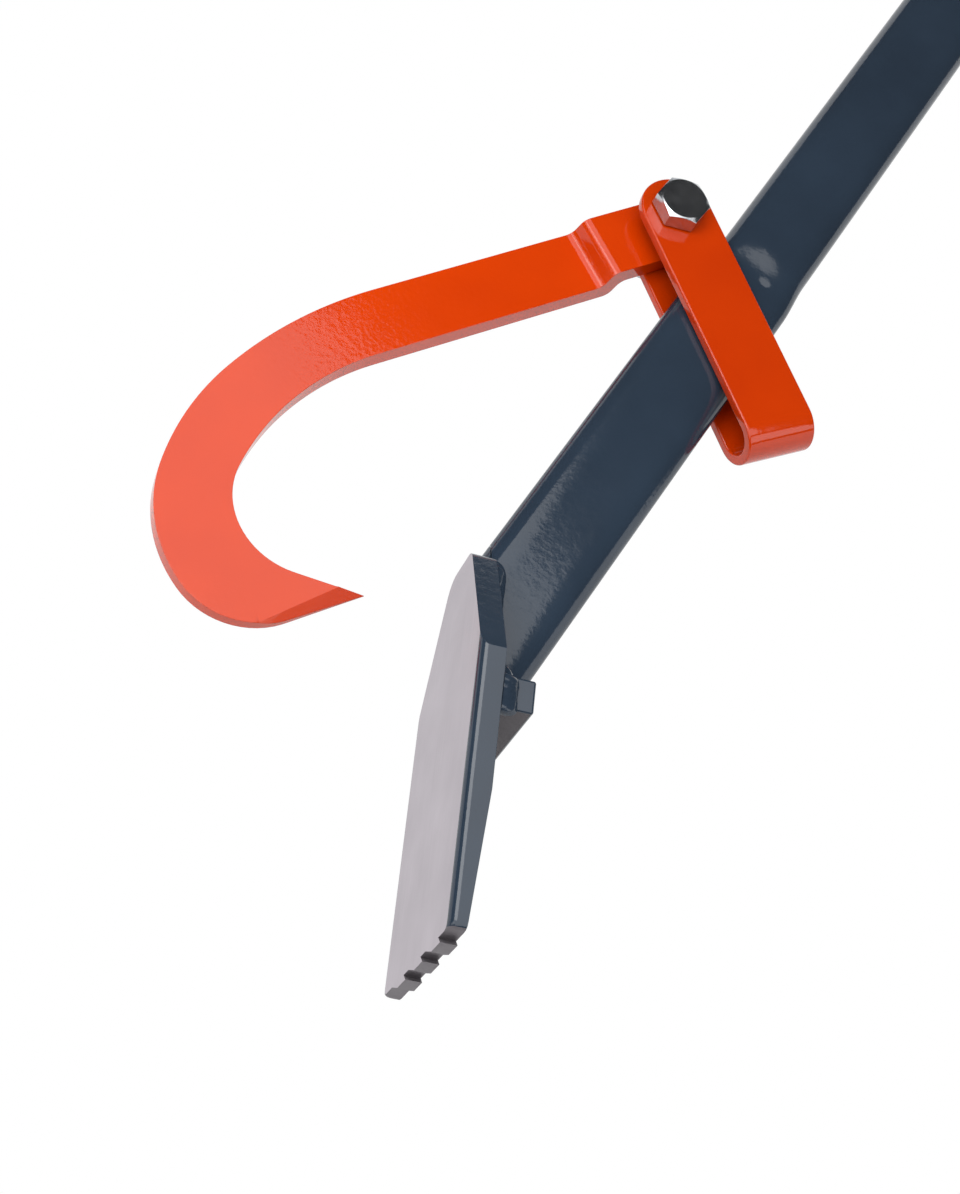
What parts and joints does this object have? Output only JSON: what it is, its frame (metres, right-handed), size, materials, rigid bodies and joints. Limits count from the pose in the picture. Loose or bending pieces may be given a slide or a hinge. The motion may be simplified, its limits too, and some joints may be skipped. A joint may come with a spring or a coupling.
{
  "type": "felling lever",
  "caption": "Felling lever with a flattened tube, a toothed foot plate with a heel bar, and a sliding bracket that carries a swinging log-turning hook.",
  "frame": {"origin": "where the tube's centre line meets the working face of the foot plate", "axes": "+X up the lever towards the handle, +Y towards the hook, +Z along the pivot bolt towards its head"},
  "size_m": [0.8067, 0.1888, 0.08],
  "materials": {
    "lever_paint": "glossy dark blue-grey powder coat",
    "foot_steel": "ground working face and tip, painted back and sides",
    "bracket_paint": "glossy orange-red powder coat",
    "hook_paint": "glossy orange-red powder coat with slight orange peel",
    "zinc": "bright zinc plating",
    "nylon": "plain nylon",
    "grip_rubber": "ribbed matt black rubber",
    "plug_plastic": "moulded dark plastic"
  },
  "bodies": {
    "lever": {"lever_tube": "lever_paint", "foot_plate": "foot_steel", "heel_bar": "lever_paint", "tube_weld_near": "lever_paint", "tube_weld_far": "lever_paint", "heel_weld_near": "lever_paint", "heel_weld_far": "lever_paint", "heel_end_weld_near": "lever_paint", "heel_end_weld_far": "lever_paint", "top_weld": "lever_paint", "grip_sleeve": "grip_rubber", "end_plug": "plug_plastic"},
    "pivot": {"pivot_bolt": "zinc", "nut_washer": "zinc", "lock_nut": "zinc", "nylon_ring": "nylon", "spacer_sleeve": "zinc"},
    "bracket": {"bracket_strap": "bracket_paint"},
    "hook": {"hook": "hook_paint"}
  },
  "joints": [
    {"name": "bracket_slide", "type": "slide", "parent": "lever", "child": "pivot", "axis": [1, 0, 0], "range_m": [-0.095, 0]},
    {"name": "bracket_swing", "type": "hinge", "parent": "pivot", "child": "bracket", "pos_m": [0.2314, 0.03935, 0], "axis": [0, 0, 1], "range_deg": [-11, 6]},
    {"name": "hook_swing", "type": "hinge", "parent": "pivot", "child": "hook", "pos_m": [0.2314, 0.03935, 0], "axis": [0, 0, 1], "range_deg": [-140, 9]}
  ]
}
